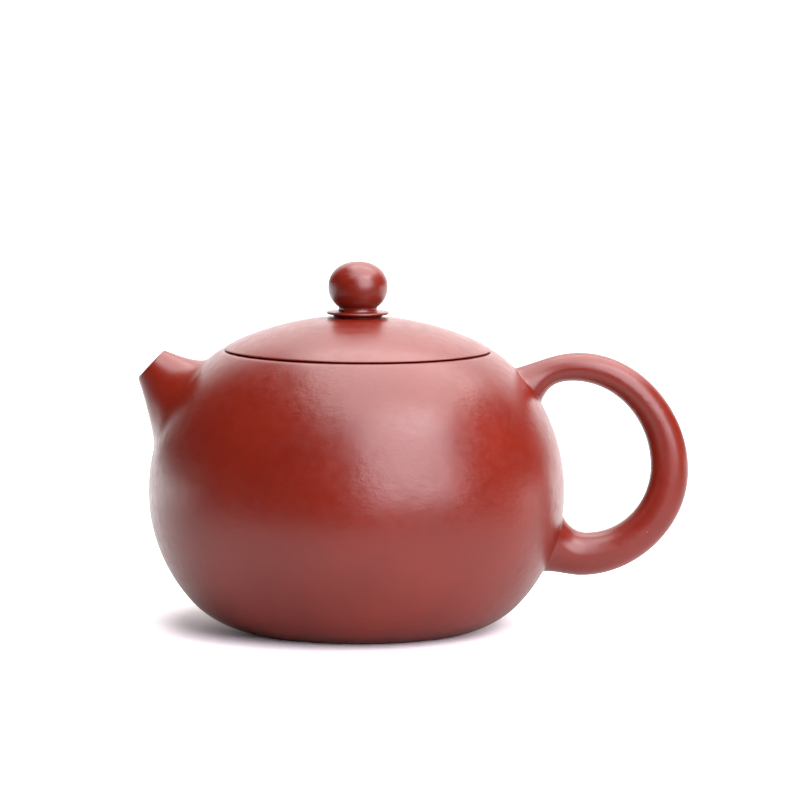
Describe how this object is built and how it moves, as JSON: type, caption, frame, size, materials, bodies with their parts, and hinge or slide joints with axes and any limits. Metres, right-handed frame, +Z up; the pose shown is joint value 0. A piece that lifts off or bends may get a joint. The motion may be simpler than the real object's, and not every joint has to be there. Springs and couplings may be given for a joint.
{
  "type": "clay teapot",
  "caption": "Round red clay teapot with a short spout, a one-finger loop handle, a pierced ball strainer and a lift-off lid with a pearl knob.",
  "frame": {"origin": "on the pot's axis, in the plane of the flat ring that it stands on", "axes": "+Z up along the pot's axis, +X towards the handle, -X towards the spout"},
  "size_m": [0.1313, 0.0994, 0.0867],
  "materials": {
    "clay": "burnished, satin",
    "clay_inside": "unburnished, matt",
    "clay_base": "matt"
  },
  "bodies": {
    "pot": {"body_shell": "clay", "base_disc": "clay_base", "mouth_ring": "clay_inside", "spout": "clay", "strainer": "clay_inside", "handle": "clay"},
    "lid": {"lid_dome": "clay", "lid_flange": "clay_inside", "knob_collar": "clay", "knob": "clay"}
  },
  "joints": [
    {"name": "lid_lift", "type": "slide", "parent": "pot", "child": "lid", "axis": [0, 0, 1], "range_m": [0, 0.06]}
  ]
}
